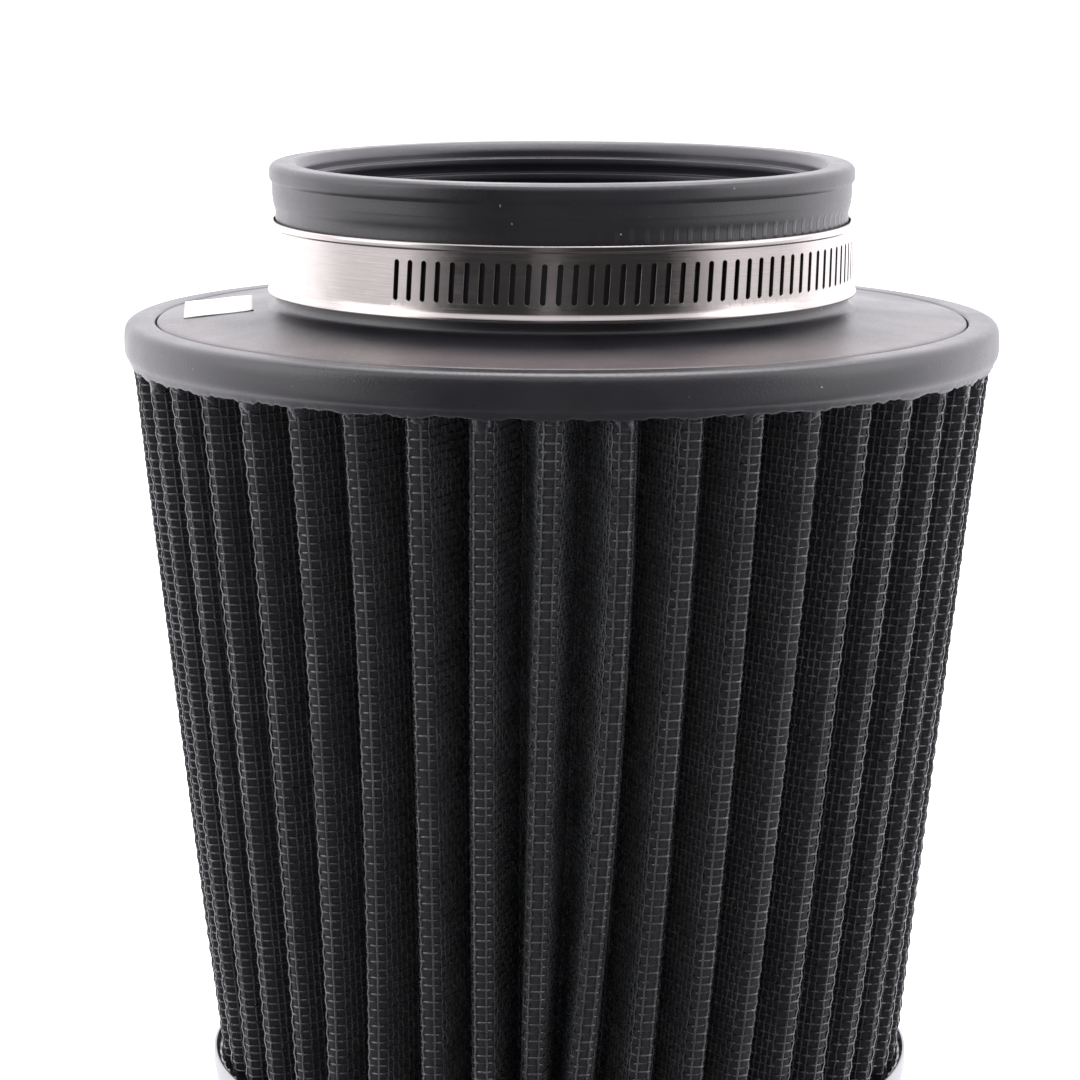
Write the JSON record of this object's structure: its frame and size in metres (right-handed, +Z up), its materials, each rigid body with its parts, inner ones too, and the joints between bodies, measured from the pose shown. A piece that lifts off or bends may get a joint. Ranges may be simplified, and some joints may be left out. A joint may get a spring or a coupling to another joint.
{
  "type": "air filter",
  "caption": "Conical pleated air filter with a moulded rubber neck held by a worm-drive clamp, woven wire screens over the pleats and a pressed metal end cap.",
  "frame": {"origin": "centre of the end cap's flat underside, on the filter's axis", "axes": "+Z runs up the filter's axis from the end cap to the neck's mouth; -Y is the front, where the clamp's slots show; +Y is where the clamp's screw sits at rest; +X is to the right seen from the front"},
  "size_m": [0.1524, 0.1524, 0.1795],
  "materials": {
    "boot_rubber": "moulded black rubber, satin, with a faint brushed grain",
    "urethane": "cast black urethane, satin",
    "wire_mesh": "plain-weave epoxy-coated wire, dark grey with bright knuckles",
    "cotton_media": "black gauze, matt",
    "plated_strip": "tinned strip, dull",
    "cap_metal": "pressed bare metal, satin",
    "potting": "poured black urethane, glossy",
    "label_paper": "blank white label, matt",
    "stainless_band": "rolled stainless strip, bright with fine lengthwise grain",
    "stainless_housing": "stamped stainless",
    "zinc_screw": "zinc-plated steel"
  },
  "bodies": {
    "filter": {"neck_boot": "boot_rubber", "flange_ring": "urethane", "outer_wire_screen": "wire_mesh", "filter_media": "cotton_media", "inner_wire_screen": "wire_mesh", "pack_seam_strip": "plated_strip", "end_cap": "cap_metal", "end_potting": "potting", "blank_label": "label_paper"},
    "clamp": {"clamp_band": "stainless_band", "clamp_housing": "stainless_housing", "clamp_saddle": "stainless_housing"},
    "tail": {"clamp_band_tail": "stainless_band"},
    "screw": {"clamp_screw": "zinc_screw"}
  },
  "joints": [
    {"name": "clamp_turn", "type": "hinge", "parent": "filter", "child": "clamp", "pos_m": [0, 0, 0.16337], "axis": [0, 0, 1], "continuous": true},
    {"name": "screw_turn", "type": "hinge", "parent": "clamp", "child": "screw", "pos_m": [0, 0.05582, 0.16337], "axis": [1, 0, 0], "range_deg": [-540, 720]},
    {"name": "tail_travel", "type": "hinge", "parent": "clamp", "child": "tail", "pos_m": [0, 0, 0.16337], "axis": [0, 0, 1], "range_deg": [-4.4, 5.9]}
  ],
  "couplings": [
    {"joint": "tail_travel", "follows": "screw_turn", "ratio": 0.0080278}
  ]
}
